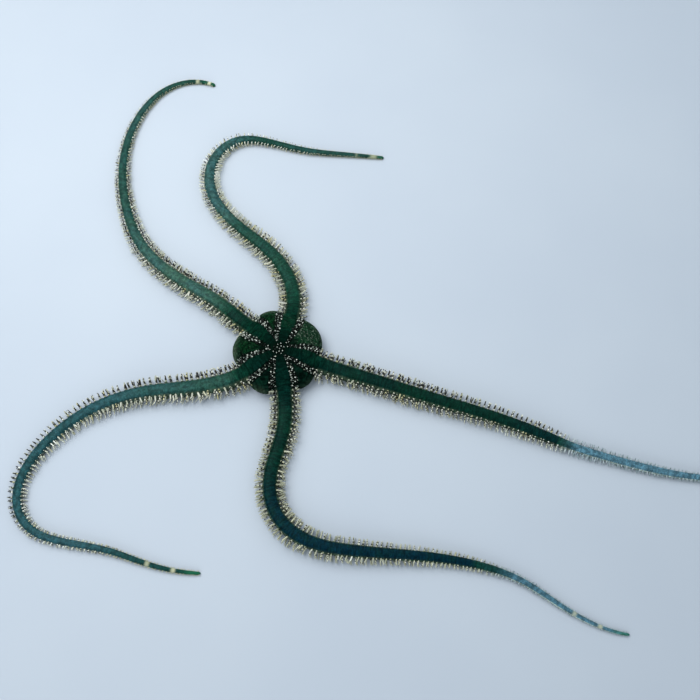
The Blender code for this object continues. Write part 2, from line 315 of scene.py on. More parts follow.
def disc_under(x, y):
    """The oral side: flat, with the star-shaped mouth, shields between the arms and the slits beside them."""
    r = np.hypot(x, y)
    angle = np.arctan2(y, x)
    lobe, near = lobe_and_near(angle)
    along, side, which = on_the_arms(x, y)
    mouth = MOUTH_RADIUS * (1.0 + 0.10 * (1 - lobe))
    z = DISC_UNDER_Z + 2.75 * smooth(mouth + 0.15, mouth - 0.75, r)
    mid = r * np.sin(np.minimum((1 - np.clip(lobe, 0, 1)) ** 0.5 * 0.63, 1.2))
    shield = np.exp(-(((r - 8.5) / 1.9) ** 4) - ((mid / 2.3) ** 4))
    z = z - 0.28 * shield
    slit = np.exp(-(((np.abs(side) - 4.55) / 0.38) ** 2)) * smooth(8.4, 9.6, along) * smooth(16.2, 15.0, along)
    z = z + 0.75 * slit
    z = z + 0.06 * wobble(x, y, z * 0, 1.3, 3.0) * smooth(6.5, 7.5, r)
    return z


# ---------------------------------------------------------------------------------------------------------------------
# Mesh helpers
# ---------------------------------------------------------------------------------------------------------------------
def to_world(p):
    """Disc-centred millimetres to the row frame in metres."""
    out = np.array(p, float)
    out[..., 0] += DISC_X
    out[..., 1] += DISC_Y
    return out * MM


def new_mesh(name, verts, faces):
    """verts in disc-centred millimetres; faces a list of equal-length index arrays."""
    mesh = bpy.data.meshes.new(name)
    co = to_world(verts).astype(np.float32)
    mesh.vertices.add(len(co))
    mesh.vertices.foreach_set("co", co.ravel())
    loops = np.concatenate([np.asarray(f).ravel() for f in faces])
    sizes = np.concatenate([np.full(len(f), np.asarray(f).shape[1]) for f in faces])
    mesh.loops.add(len(loops))
    mesh.loops.foreach_set("vertex_index", loops.astype(np.int32))
    mesh.polygons.add(len(sizes))
    mesh.polygons.foreach_set("loop_start", (np.cumsum(sizes) - sizes).astype(np.int32))
    mesh.update(calc_edges=True)
    mesh.validate()
    return mesh


def put(name, mesh):
    obj = bpy.data.objects.new(name, mesh)
    scene.collection.objects.link(obj)
    return obj


def add_values(mesh, name, values, kind="FLOAT"):
    at = mesh.attributes.new(name, kind, "POINT")
    key = {"FLOAT": "value", "FLOAT_VECTOR": "vector"}[kind]
    at.data.foreach_set(key, np.asarray(values, np.float32).ravel())


def all_smooth(mesh):
    mesh.polygons.foreach_set("use_smooth", np.ones(len(mesh.polygons), bool))
    mesh.update()


# ---------------------------------------------------------------------------------------------------------------------
# Arms: rings of points along each arm
# ---------------------------------------------------------------------------------------------------------------------
THETA = np.pi / 2 - 2 * np.pi * np.arange(AROUND) / AROUND  # 90 degrees is the top, 0 the right-hand side


def arm_section(arm, s, theta):
    """Across and up, in millimetres, for distances s (m,) and angles theta (n,) or (m,)."""
    s = np.asarray(s, float)
    if np.ndim(theta) == 1 and np.shape(theta) != np.shape(s) or np.ndim(theta) == 1 and len(theta) == AROUND:
        s = s[:, None]
        theta = np.asarray(theta)[None, :]
    w = body_width(arm.key, s)
    k = w / 7.6
    q = arm.joint_at(s)
    ph = q - np.floor(q)
    m = np.minimum(ph, 1 - ph)
    c, sn = np.cos(theta), np.sin(theta)
    half = 0.45 * w
    centre = 0.345 * w
    top = 0.775 * w
    bottom = 0.05 + 1.1 * smooth(10.5, 7.0, s)
    up = sn >= 0
    ec = np.where(up, 0.70, 0.62)
    es = np.where(up, 0.68, 0.60)
    ax = np.sign(c) * np.abs(c) ** ec
    az = np.abs(sn) ** es
    lift = 3.0 * smooth(26.0, 11.0, s)
    x = half * ax
    z = np.where(up, centre + (top + lift - centre) * az, centre - (centre - bottom) * az)
    # plates
    dorsal = smooth(0.50, 0.80, sn)
    ventral = smooth(0.45, 0.80, -sn)
    lateral = np.clip(1 - dorsal - ventral, 0, 1) * smooth(-0.85, -0.3, sn)
    out = dorsal * (0.010 * np.sin(np.pi * ph) ** 0.5 * (0.5 + 0.5 * ph) - 0.018 * np.exp(-((m / 0.05) ** 2)))
    out = out + lateral * (0.16 * np.exp(-(((ph - 0.70) / 0.20) ** 2)) - 0.12 * np.exp(-((m / 0.08) ** 2)))
    out = out - 0.08 * np.exp(-(((sn - 0.68) / 0.10) ** 2))
    out = out - ventral * 0.07 * np.exp(-((m / 0.07) ** 2))
    out = out - 0.10 * np.exp(-(((np.abs(c) - 0.55) / 0.14) ** 2)) * (sn < 0) * np.exp(-(((ph - 0.2) / 0.14) ** 2))
    out = out * k
    nx, nz = ax / half, np.where(up, az, -az) / centre
    nn = np.hypot(nx, nz) + 1e-9
    x = x + out * nx / nn
    z = z + out * nz / nn
    # rounded end
    end = np.clip((s - (arm.length - 0.9)) / 0.9, 0.0, 1.0)
    shrink = np.sqrt(np.clip(1 - end**2, 0.0, 1.0))
    x = x * shrink
    z = centre + (z - centre) * shrink
    return x, np.maximum(z, 0.01)


def arm_points(arm, s, theta=THETA):
    across, up = arm_section(arm, s, theta)
    x, y, h = arm.place(s)
    if across.ndim == 2:
        x, y, h = x[:, None], y[:, None], h[:, None]
    return np.stack([x + across * np.sin(h), y - across * np.cos(h), up], -1)


def ring_places(arm):
    stops = []
    for i in range(len(arm.cuts) - 1):
        a, b = arm.cuts[i], arm.cuts[i + 1]
        phases = (0.0, 0.10, 0.35, 0.65, 0.88) if a < 118 else (0.0, 0.14, 0.5, 0.84)
        stops += [a + (b - a) * p for p in phases]
    stops = [s for s in stops if s >= ROOT_FROM]
    stops += [arm.length - 0.9, arm.length - 0.62, arm.length - 0.34, arm.length - 0.12]
    return np.array(stops)


def quads_between(rings, n):
    i = np.arange(rings - 1)[:, None] * n
    k = np.arange(n)[None, :]
    k2 = (k + 1) % n
    return np.stack([i + k, i + n + k, i + n + k2, i + k2], -1).reshape(-1, 4)


print("building the skin")
disc_parts = {}
N_AROUND = 240
TOP_RINGS = 50
UNDER_RINGS = 40

angles = 2 * np.pi * np.arange(N_AROUND) / N_AROUND
lobe_a, near_a = lobe_and_near(angles)
reach_a = disc_reach(angles, lobe_a)
rings = []
for k in range(1, TOP_RINGS + 1):
    flat = math.sin(k / TOP_RINGS * math.pi / 2)
    r = reach_a * flat**0.9
    x, y = r * np.cos(angles), r * np.sin(angles)
    z = disc_top(x, y) if k < TOP_RINGS else np.full(N_AROUND, DISC_RIM_Z)
    rings.append(np.stack([x, y, z], -1))
# under the rim, rounded, and then in to the middle
for share in (0.25, 0.5, 0.72, 0.88, 0.97):
    r = reach_a * (1 - 0.16 * (1 - math.sqrt(max(0.0, 1 - share**2))))
    z = DISC_RIM_Z - (DISC_RIM_Z - DISC_UNDER_Z - 0.05) * share
    rings.append(np.stack([r * np.cos(angles), r * np.sin(angles), np.full(N_AROUND, z)], -1))
for k in range(UNDER_RINGS):
    f = 0.85 * (1 - k / UNDER_RINGS)
    base = reach_a * (0.88 if k == 0 else 1.0)
    r = np.where(f * reach_a > 8.0, f * reach_a, f * (reach_a * smooth(0.2, 0.45, f) + 18.6 * (1 - smooth(0.2, 0.45, f))))
    x, y = r * np.cos(angles), r * np.sin(angles)
    rings.append(np.stack([x, y, disc_under(x, y)], -1))
grid = np.array(rings)
centre_top = [[0.0, 0.0, float(disc_top(np.array([0.001]), np.array([0.0]))[0])]]
centre_under = [[0.0, 0.0, DISC_UNDER_Z + 2.75]]
verts = np.concatenate([grid.reshape(-1, 3), centre_top, centre_under])
n_grid = grid.shape[0] * N_AROUND
quads = quads_between(grid.shape[0], N_AROUND)
k = np.arange(N_AROUND)
k2 = (k + 1) % N_AROUND
cap_top = np.stack([np.full(N_AROUND, n_grid), k, k2], -1)
last = n_grid - N_AROUND
cap_under = np.stack([np.full(N_AROUND, n_grid + 1), last + k2, last + k], -1)
skin = put("skin", new_mesh("skin", verts, [quads, cap_top, cap_under]))

# Arm roots for the union, and the rest of each arm to weld on
root_v, root_quads, root_ngons, far_parts, weld_points = [], [], [], [], []
offset = 0
for arm in arms.values():
    s = ring_places(arm)
    P = arm_points(arm, s)
    j = int(np.searchsorted(s, WELD_NEAR))
    near = P[: j + 1]
    nq = quads_between(j + 1, AROUND)[:, ::-1] + offset
    root_v.append(near.reshape(-1, 3))
    root_quads.append(nq)
    root_ngons.append(np.arange(AROUND)[None, ::-1][:, ::-1] + offset)
    root_ngons.append((np.arange(AROUND)[None, ::-1]) + offset + j * AROUND)
    offset += (j + 1) * AROUND
    weld_points.append(P[j])
    far = P[j:]
    tip = np.array([[*[float(v) for v in arm.place(arm.length)[:2]], 0.345 * float(body_width(arm.key, arm.length))]])
    n_far = far.shape[0] * AROUND
    fq = quads_between(far.shape[0], AROUND)[:, ::-1]
    kk = np.arange(AROUND)
    cap = np.stack([np.full(AROUND, n_far), n_far - AROUND + (kk + 1) % AROUND, n_far - AROUND + kk], -1)[:, ::-1]
    far_parts.append((np.concatenate([far.reshape(-1, 3), tip]), fq, cap))

root_mesh = new_mesh("roots", np.concatenate(root_v), [np.concatenate(root_quads), np.concatenate(root_ngons)])
roots = put("roots", root_mesh)
for o in (skin, roots):
    bm = bmesh.new()
    bm.from_mesh(o.data)
    bmesh.ops.recalc_face_normals(bm, faces=bm.faces)
    bm.to_mesh(o.data)
    bm.free()
join = skin.modifiers.new("join", "BOOLEAN")
join.operation = "UNION"
join.solver = "EXACT"
join.object = roots
bpy.context.view_layer.update()
graph = bpy.context.evaluated_depsgraph_get()
joined = bpy.data.meshes.new_from_object(skin.evaluated_get(graph))
skin.modifiers.clear()
old = skin.data
known = kdtree.KDTree(len(old.vertices) + len(root_mesh.vertices))
for i, v in enumerate(old.vertices):
    known.insert(v.co, i)
for i, v in enumerate(root_mesh.vertices):
    known.insert(v.co, i)
known.balance()
bpy.data.objects.remove(roots, do_unlink=True)

bm = bmesh.new()
bm.from_mesh(joined)
print("joined disc: %d faces" % len(bm.faces))
weld = to_world(np.concatenate(weld_points))
weld_tree = kdtree.KDTree(len(weld))
for i, p in enumerate(weld):
    weld_tree.insert(Vector(p), i)
weld_tree.balance()
on_weld = {v for v in bm.verts if weld_tree.find(v.co)[2] < 3e-6}
bmesh.ops.delete(bm, geom=[f for f in bm.faces if all(v in on_weld for v in f.verts)], context="FACES_ONLY")

# Soften the crease where the arms enter the disc
seam = {v for v in bm.verts if known.find(v.co)[2] > 2e-6}
seam = {v for v in seam if v.co.z > 4.0 * MM}
wide = set(seam)
for _ in range(3):
    for v in list(wide):
        for e in v.link_edges:
            wide.add(e.other_vert(v))
wide = [v for v in wide if v not in on_weld]
for _ in range(6):
    bmesh.ops.smooth_vert(bm, verts=wide, factor=0.5, use_axis_x=True, use_axis_y=True, use_axis_z=True)

for verts_far, fq, cap in far_parts:
    co = to_world(verts_far)
    made = [bm.verts.new(p) for p in co]
    for f in fq:
        bm.faces.new([made[i] for i in f])
    for f in cap:
        bm.faces.new([made[i] for i in f])
bm.verts.ensure_lookup_table()
edge_verts = [v for v in bm.verts if v.is_boundary and weld_tree.find(v.co)[2] < 3e-6]
bmesh.ops.remove_doubles(bm, verts=edge_verts, dist=3e-6)
bmesh.ops.triangulate(bm, faces=[f for f in bm.faces if len(f.verts) > 4])
bmesh.ops.recalc_face_normals(bm, faces=bm.faces)
print("open edges left in the skin:", sum(1 for e in bm.edges if not e.is_manifold))
mesh = bpy.data.meshes.new("skin")
bm.to_mesh(mesh)
bm.free()
skin.data = mesh
all_smooth(mesh)
print("skin: %d faces" % len(mesh.polygons))

# Where each point of the skin lies on the animal
count = len(mesh.vertices)
co = np.empty(count * 3, np.float32)
mesh.vertices.foreach_get("co", co)
co = co.reshape(-1, 3) / MM - np.array([DISC_X, DISC_Y, 0.0])
nrm = np.empty(count * 3, np.float32)
mesh.vertex_normals.foreach_get("vector", nrm)
nrm = nrm.reshape(-1, 3)
lines = [a.line for a in arms.values()]
tree = kdtree.KDTree(sum(len(v) for v in lines))
owner = []
for n, line in enumerate(lines):
    for i, row in enumerate(line):
        tree.insert((row[1], row[2], 0.0), len(owner))
        owner.append((n, i))
tree.balance()
owner = np.array(owner)
hit = np.array([tree.find((p[0], p[1], 0.0))[1] for p in co])
which, idx = owner[hit, 0], owner[hit, 1]
S = np.zeros(count)
D = np.zeros(count)
Q = np.zeros(count)
T = np.zeros(count)
W = np.zeros(count)
G = np.zeros(count)
for n, arm in enumerate(arms.values()):
    sel = which == n
    line = arm.line[idx[sel]]
    ex, ey = co[sel, 0] - line[:, 1], co[sel, 1] - line[:, 2]
    h = line[:, 3]
    S[sel] = line[:, 0] + ex * np.cos(h) + ey * np.sin(h)
    D[sel] = ex * np.sin(h) - ey * np.cos(h)
    Q[sel] = arm.joint_at(S[sel])
    T[sel] = S[sel] / arm.length
    W[sel] = body_width(arm.key, S[sel])
    G[sel] = np.interp(S[sel], *np.array(BAND_SHARES[arm.key]).T)
R = np.hypot(co[:, 0], co[:, 1])
Z = co[:, 2]
on_disc = 1 - smooth(16.6, 18.2, R)
half = band_half(R) * on_disc + G * W * (1 - on_disc)
dd = np.abs(D)
soft = 0.26 * np.clip(W / 7.6, 0.25, 1)
upper = smooth(0.30, 0.62, Z / (0.775 * W))
disc_upper = smooth(3.6, 5.2, Z)
upper = disc_upper * on_disc + upper * (1 - on_disc)
band = (1 - smooth(half - soft, half + soft, dd)) * upper * np.where(R < 6, smooth(2.6, 4.2, R), 1.0)
under = (1 - smooth(0.12, 0.36, Z / (0.775 * W))) * (1 - on_disc) + (1 - smooth(1.1, 1.7, Z)) * on_disc
tube = (np.abs(D) < 0.52 * W) & (Z < 0.8 * W)
lobe_v, near_v = lobe_and_near(np.arctan2(co[:, 1], co[:, 0]))
disc_zone = smooth(DISC_RADIUS + LOBE_BULGE + 0.6, DISC_RADIUS - 1.2, R + 0.0)
disc_zone = disc_zone * np.where(dd > 0.49 * W, 1.0, smooth(18.2, 15.0, R))
row_lo, row_hi = band_half(R), band_half(R) + row_width(R)
row = smooth(row_lo - 0.1, row_lo + 0.3, dd) * (1 - smooth(row_hi - 0.4, row_hi + 0.3, dd))
row = row * smooth(2.6, 3.8, R) * disc_zone * smooth(3.4, 5.0, Z)
row = np.maximum(row, smooth(3.4, 2.4, R) * smooth(5.0, 7.0, Z) * 0.85)
side = (1 - band) * upper * (1 - disc_zone)

# Painted sheen along each arm, as (distance from the disc's middle, strength): the skin is painted paler grey-teal
# where the wet arm caught the light; above 1 it turns to a pale blue painted glare
PAINTED_SHEEN = {
    "a": [(18, 0.0), (29, 0.03), (37, 0.65), (48, 1.0), (78, 1.05), (92, 0.80), (106, 0.55), (140, 0.52), (160, 0.7), (185, 0.4), (204, 0.1)],
    "b": [(16, 0.0), (25, 0.05), (36, 0.24), (62, 0.36), (74, 0.42), (82, 1.0), (90, 1.03), (127, 1.04), (135, 0.6), (143, 0.25), (165, 0.5), (201, 0.3)],
    "c": [(18, 0.0), (121, 0.0), (130, 1.6), (222, 1.65)],
    "d": [(18, 0.0), (150, 0.0), (160, 0.3), (168, 1.4), (216, 1.6)],
    "e": [(20, 0.02), (26, 0.5), (60, 0.62), (75, 0.70), (90, 0.66), (130, 0.62), (150, 0.82), (168, 0.85), (185, 0.40), (216, 0.15)],
}
# Pale bands near the tips, each as (distance from the tip, half width, strength)
TIP_BANDS = {
    "a": [(9.0, 0.9, 0.6), (3.1, 0.8, 0.95)],
    "b": [(5.0, 1.6, 0.5), (13.0, 0.6, 0.25)],
    "c": [(11.0, 0.9, 0.7), (22.5, 0.8, 0.6)],
    "d": [(11.5, 0.9, 0.7), (22.0, 0.8, 0.6)],
    "e": [(10.8, 0.9, 0.75), (21.4, 0.9, 0.6)],
}
tips = np.zeros(count)
blue = np.zeros(count)
bright = np.zeros(count)
painted_sheen = np.zeros(count)
for n, (key, arm) in enumerate(arms.items()):
    sel = which == n
    back = arm.length - S[sel]
    v = np.zeros(sel.sum())
    for c, wd, power in TIP_BANDS[key]:
        v = np.maximum(v, power * (1 - smooth(wd * 0.3, wd * 1.5, np.abs(back - c))))
    tips[sel] = v
    bright[sel] = smooth(9.0, 3.0, back) * {"a": 0.6, "b": 0.4}.get(key, 1.0)
    # painted sheen: how much of the light caught on the wet skin is painted into its colour here
    painted_sheen[sel] = np.interp(S[sel], *np.array(PAINTED_SHEEN[key]).T)
    near_s, far_s, share = {"a": (60, 130, 0.25), "b": (45, 100, 0.35), "c": (80, 140, 0.9), "d": (40, 85, 1.5), "e": (10, 120, 1.5)}[key]
    blue[sel] = smooth(near_s, far_s, S[sel]) * share

add_values(mesh, "joint", Q)
add_values(mesh, "painted_sheen", painted_sheen)
add_values(mesh, "place", np.stack([S, D, T], -1), "FLOAT_VECTOR")
add_values(mesh, "zones", np.stack([band, side, under], -1), "FLOAT_VECTOR")
add_values(mesh, "discs", np.stack([disc_zone, row, smooth(11.5, 5.0, R) * disc_zone * 0.8], -1), "FLOAT_VECTOR")
add_values(mesh, "tones", np.stack([tips, blue, bright], -1), "FLOAT_VECTOR")
add_values(mesh, "lobed", np.stack([smooth(5.0, 13.0, R) * smooth(-4.0, 3.0, co[:, 1]) * (0.12 + 0.88 * smooth(-3.0, 8.0, co[:, 0])), smooth(1.0, -8.0, co[:, 1]), Z], -1), "FLOAT_VECTOR")


# ---------------------------------------------------------------------------------------------------------------------
# Spines
# ---------------------------------------------------------------------------------------------------------------------
def spine_batch(name, root, way, length, thick, bow, mark0, mark_rate, shade, far, level, regrown, marked, running, straw, uv, sides=7):
    """Many blunt tapering spines as one mesh.

    mark0 and mark_rate give, along each spine, the number that places its dark rings.
    """
    L = np.array([0.0, 0.14, 0.34, 0.56, 0.76, 0.91, 0.985])
    F = np.array([1.0, 0.98, 0.90, 0.80, 0.70, 0.56, 0.30])
    N, M = len(root), len(L)
    way = way / np.linalg.norm(way, axis=1, keepdims=True)
    flat = np.cross(way, [0.0, 0.0, 1.0])
    flat = flat / np.linalg.norm(flat, axis=1, keepdims=True)
    up = np.cross(flat, way)
    ang = 2 * np.pi * np.arange(sides) / sides
    l = L[None, :, None] * np.ones((N, 1, sides))
    rad = (thick / 2)[:, None, None] * F[None, :, None] * np.ones((1, 1, sides))
    ca, sa = np.cos(ang)[None, None, :], np.sin(ang)[None, None, :]
    bend = bow[:, None, None] * length[:, None, None] * (l**2)
    P = (
        root[:, None, None, :]
        + way[:, None, None, :] * (l * length[:, None, None])[..., None]
        + up[:, None, None, :] * (bend + rad * sa * 0.85)[..., None]
        + flat[:, None, None, :] * (rad * ca)[..., None]
    )
    tip = root + way * length[:, None] + up * (bow * length)[:, None]
    base = root
    per = M * sides + 2
    V = np.concatenate([P.reshape(N, M * sides, 3), tip[:, None], base[:, None]], 1)
    V[..., 2] = np.maximum(V[..., 2], 0.03)
    mark = mark0[:, None, None] + mark_rate[:, None, None] * l * length[:, None, None]
    mark = np.concatenate([mark.reshape(N, -1), (mark0 + mark_rate * length)[:, None], mark0[:, None]], 1)
    along = np.concatenate([l.reshape(N, -1), np.ones((N, 1)), np.zeros((N, 1))], 1)
    k = np.arange(sides)
    k2 = (k + 1) % sides
    q = []
    quv = []
    for i in range(M - 1):
        q.append(np.stack([i * sides + k, i * sides + k2, (i + 1) * sides + k2, (i + 1) * sides + k], -1))
        a, b = L[i], L[i + 1]
        quv.append(
            np.stack(
                [
                    np.stack([np.full(sides, a), k / sides], -1),
                    np.stack([np.full(sides, a), (k + 1) / sides], -1),
                    np.stack([np.full(sides, b), (k + 1) / sides], -1),
                    np.stack([np.full(sides, b), k / sides], -1),
                ],
                1,
            )
        )
    q = np.concatenate(q)
    quv = np.concatenate(quv)
    t1 = np.stack([(M - 1) * sides + k, (M - 1) * sides + k2, np.full(sides, M * sides)], -1)
    t1uv = np.stack(
        [
            np.stack([np.full(sides, L[-1]), k / sides], -1),
            np.stack([np.full(sides, L[-1]), (k + 1) / sides], -1),
            np.stack([np.full(sides, 1.08), (k + 0.5) / sides], -1),
        ],
        1,
    )
    t2 = np.stack([k2, k, np.full(sides, M * sides + 1)], -1)
    t2uv = np.stack(
        [
            np.stack([np.full(sides, 0.0), (k + 1) / sides], -1),
            np.stack([np.full(sides, 0.0), k / sides], -1),
            np.stack([np.full(sides, -0.08), (k + 0.5) / sides], -1),
        ],
        1,
    )
    shift = (np.arange(N) * per)[:, None, None]
    quads = (q[None] + shift).reshape(-1, 4)
    tris = (np.concatenate([t1, t2])[None] + shift).reshape(-1, 3)
    mesh = new_mesh(name, V.reshape(-1, 3), [quads, tris])
    spot = uv[:, None, None, :]
    quv_all = (spot + 0.0028 * (quv[None] - 0.5)).reshape(-1, 2)
    tuv_all = (spot + 0.0028 * (np.concatenate([t1uv, t2uv])[None] - 0.5)).reshape(-1, 2)
    layer = mesh.uv_layers.new(name="OFBake")
    layer.uv.foreach_set("vector", np.concatenate([quv_all, tuv_all]).astype(np.float32).ravel())
    add_values(mesh, "mark", mark)
    add_values(mesh, "along", along)
    add_values(mesh, "shade", np.repeat(shade, per))
    add_values(mesh, "far", np.repeat(far, per))
    add_values(mesh, "level", np.repeat(level, per))
    add_values(mesh, "regrown", np.repeat(regrown, per))
    add_values(mesh, "marked", np.repeat(marked, per))
    add_values(mesh, "running", np.repeat(running, per))
    add_values(mesh, "straw", np.repeat(straw, per))
    all_smooth(mesh)
    return mesh


print("building the spines")
spine_objects = []
for n, (key, arm) in enumerate(arms.items()):
    roots_, ways, lens, thicks, bows, m0, mr, shades, fars, levels, new_ones, uvs = [], [], [], [], [], [], [], [], [], [], [], []
    with_mark, on_run, straws = [], [], []
    for i in range(len(arm.cuts) - 1):
        a, b = arm.cuts[i], arm.cuts[i + 1]
        s = a + 0.70 * (b - a)
        if s < 16.0:
            continue
        t = s / arm.length
        w = float(body_width(key, s))
        rows = 5 if t < 0.62 else (4 if t < 0.84 else 3)
        full = float(spine_length(t))
        loose = float(smooth(0.24, 0.42, t))
        regrown = float(smooth(*{"c": (119, 128), "d": (150, 168)}[key], s)) if key in "cd" else 0.0
        for hand in (-1, 1):
            marked_share = float(np.interp(s, *np.array(MARKED[key, hand]).T))
            run_share = float(np.interp(s, *np.array(RUNNING[key, hand]).T)) if (key, hand) in RUNNING else 0.0
            lean = 13 - 7 * loose + rng.normal(0, 5.0)
            facing = float(smooth(0.25, 0.85, hand * math.cos(float(arm.place(s)[2]))))
            lifted = rng.normal(0, 3.0)
            grown = 1 + rng.normal(0, 0.05)
            s_comb = s + rng.normal(0, 0.13)
            marked = rng.normal(0, 0.16)
            for j in range(rows):
                f = j / (rows - 1)
                theta = math.radians(-26 + 54 * f)
                if hand < 0:
                    theta = math.pi - theta
                sj = s_comb + (f - 0.5) * (0.25 + 0.75 * facing) * (b - a) / 2.35 + rng.normal(0, 0.14 + 0.10 * facing)
                across, up = arm_section(arm, np.array([sj]), np.array([theta]))
                across, up = float(across.ravel()[0]), float(up.ravel()[0])
                rise = -5 + 33 * f**1.1 * (1 - 0.25 * float(smooth(0.4, 0.85, t))) + lifted + rng.normal(0, 2.5)
                x, y, h = [float(v) for v in arm.place(sj)]
                length = full * grown * (1.0 - 0.10 * f + rng.normal(0, 0.03))
                thick = (0.54 + 0.22 * f) * (w / 7.6) ** 0.6 * (1 - 0.14 * loose) * (1 + 0.12 * facing) * (1 + rng.normal(0, 0.07))
                inward = 0.25 * (w / 7.6)
                across_in = across - hand * inward
                z0 = max(up - 0.05, 0.30 * thick)
                reach_z = z0 + length * math.sin(math.radians(rise))
                if reach_z < 0.16:
                    rise = math.degrees(math.asin(max(-0.9, (0.16 - z0) / length)))
                fan = (0.5 - f) * (26.0 * (1 - 0.7 * loose) + 22.0 * facing) + rng.normal(0, 7.0 - 3.5 * loose + 3.0 * facing)
                out = h - hand * math.radians(90 - lean - fan)
                r_ = math.radians(rise)
                roots_.append((x + across_in * math.sin(h), y - across_in * math.cos(h), z0))
                ways.append((math.cos(out) * math.cos(r_), math.sin(out) * math.cos(r_), math.sin(r_)))
                lens.append(length + inward)
                thicks.append(thick)
                bows.append(0.05 + rng.normal(0, 0.02))
                size = max(0.72, (full / SPINE_LONG) ** 0.35)
                edge = 0.45 * w
                m0.append((abs(across_in) - edge) / size + marked - 1.1 * (1 - f) ** 1.2 * (1 - 0.8 * loose) + rng.normal(0, 0.10))
                mr.append(math.cos(r_) * math.cos(math.radians(lean)) / size * (1.3 - 0.3 * min(1.0, 2 * f)))
                shades.append(rng.random())
                fars.append(t)
                levels.append(f)
                new_ones.append(regrown)
                with_mark.append(1.0 if rng.random() < marked_share else 0.3 * rng.random())
                on_run.append(0.4 + 0.8 * rng.random() if rng.random() < run_share else -0.25 * float(smooth(0.85, 0.55, marked_share)))
                straws.append(min(1.0, max(0.0, float(np.interp(s, *np.array(STRAW[key]).T)) * (1 + rng.normal(0, 0.35)))))
                uvs.append((0.012 + 0.976 * s / arm.length, 0.012 + 0.976 * ((math.pi / 2 - theta) / (2 * math.pi) % 1.0)))
    mesh = spine_batch(
        "spines_" + key,
        np.array(roots_),
        np.array(ways),
        np.array(lens),
        np.array(thicks),
        np.array(bows),
        np.array(m0),
        np.array(mr),
        np.array(shades),
        np.array(fars),
        np.array(levels),
        np.array(new_ones),
        np.array(with_mark),
        np.array(on_run),
        np.array(straws),
        np.array(uvs),
    )
    obj = put("spines_" + key, mesh)
    spine_objects.append(obj)
    print(obj.name, "spines", len(roots_), "faces", len(mesh.polygons))

# Spinelets that stand in rows on the disc, beside each green band, and a cluster in the middle
roots_, ways, lens, thicks, m0, mr, shades, uvs = [], [], [], [], [], [], [], []


def surface_way(x, y):
    e = 0.3
    z = disc_top(np.array([x + e, x - e, x, x]), np.array([y, y, y + e, y - e]), fine=False)
    nv = Vector((-(z[0] - z[1]) / (2 * e), -(z[2] - z[3]) / (2 * e), 1.0))
    return nv.normalized()


def add_spinelet(x, y, lean_out, length, thick, dark):
    z = float(disc_top(np.array([x]), np.array([y]), fine=False)[0])
    nv = surface_way(x, y)
    nv = (nv + Vector(lean_out)).normalized()
    roots_.append((x - nv.x * 0.2, y - nv.y * 0.2, z - nv.z * 0.2))
    ways.append(tuple(nv))
    lens.append(length + 0.2)
    thicks.append(thick)
    m0.append(10.0)
    mr.append(0.0 if dark else 1.0 / length)
    shades.append(rng.random())
    uvs.append((0.5 + x / 42.0, 0.5 + y / 42.0))


PITCH = 0.86
for arm in arms.values():
    for hand in (-1, 1):
        for i in range(20):
            for col in range(5):
                s = 3.4 + PITCH * (i + 0.5 * (col % 2)) + rng.normal(0, 0.13)
                if s > 19.4:
                    continue
                x, y, h = [float(v) for v in arm.place(s)]
                r = math.hypot(x, y)
                d = float(band_half(r)) + 0.34 + col * 0.78
                if d > float(band_half(r)) + float(row_width(r)) - 0.10:
                    continue
                px = x + hand * d * math.sin(h) + rng.normal(0, 0.15)
                py = y - hand * d * math.cos(h) + rng.normal(0, 0.15)
                rr = math.hypot(px, py)
                angle_p = np.array([math.atan2(py, px)])
                lobe_p, _ = lobe_and_near(angle_p)
                if not 3.5 < rr < float(disc_reach(angle_p, lobe_p)[0]) * 0.985:
                    continue
                if i and rng.random() < 0.10:
                    continue
                out = np.array([math.sin(h) * hand, -math.cos(h) * hand, 0.0])
                size = (0.70 + 0.30 * min(1.0, rr / 12)) * (1 + 0.22 * rng.normal())
                add_spinelet(
                    px,
                    py,
                    tuple(0.40 * out + rng.normal(0, 0.10, 3)),
                    (0.36 + 0.40 * min(1.0, rr / 15)) * (1 + rng.normal(0, 0.15)),
                    float(np.clip(0.66 * size, 0.38, 0.86)),
                    (i + (col + 1) // 2) % 2 == 1 if rng.random() < 0.72 else rng.random() < 0.5,
                )
for i in range(13):
    a = i * 2.39996
    r = 0.25 + 0.70 * math.sqrt(i) * 0.98
    add_spinelet(r * math.cos(a), r * math.sin(a), tuple(rng.normal(0, 0.1, 3)), 0.45, 0.56, i % 5 == 4)
    shades[-1] = 0.55 + 0.45 * shades[-1]
mesh = spine_batch(
    "disc_spinelets",
    np.array(roots_),
    np.array(ways),
    np.array(lens),
    np.array(thicks),
    np.zeros(len(roots_)),
    np.array(m0),
    np.array(mr),
    np.array(shades),
    np.zeros(len(roots_)),
    np.ones(len(roots_)),
    np.zeros(len(roots_)),
    np.ones(len(roots_)),
    np.zeros(len(roots_)),
    np.zeros(len(roots_)),
    np.array(uvs),
)
spinelets = put("disc_spinelets", mesh)
print("spinelets", len(roots_))


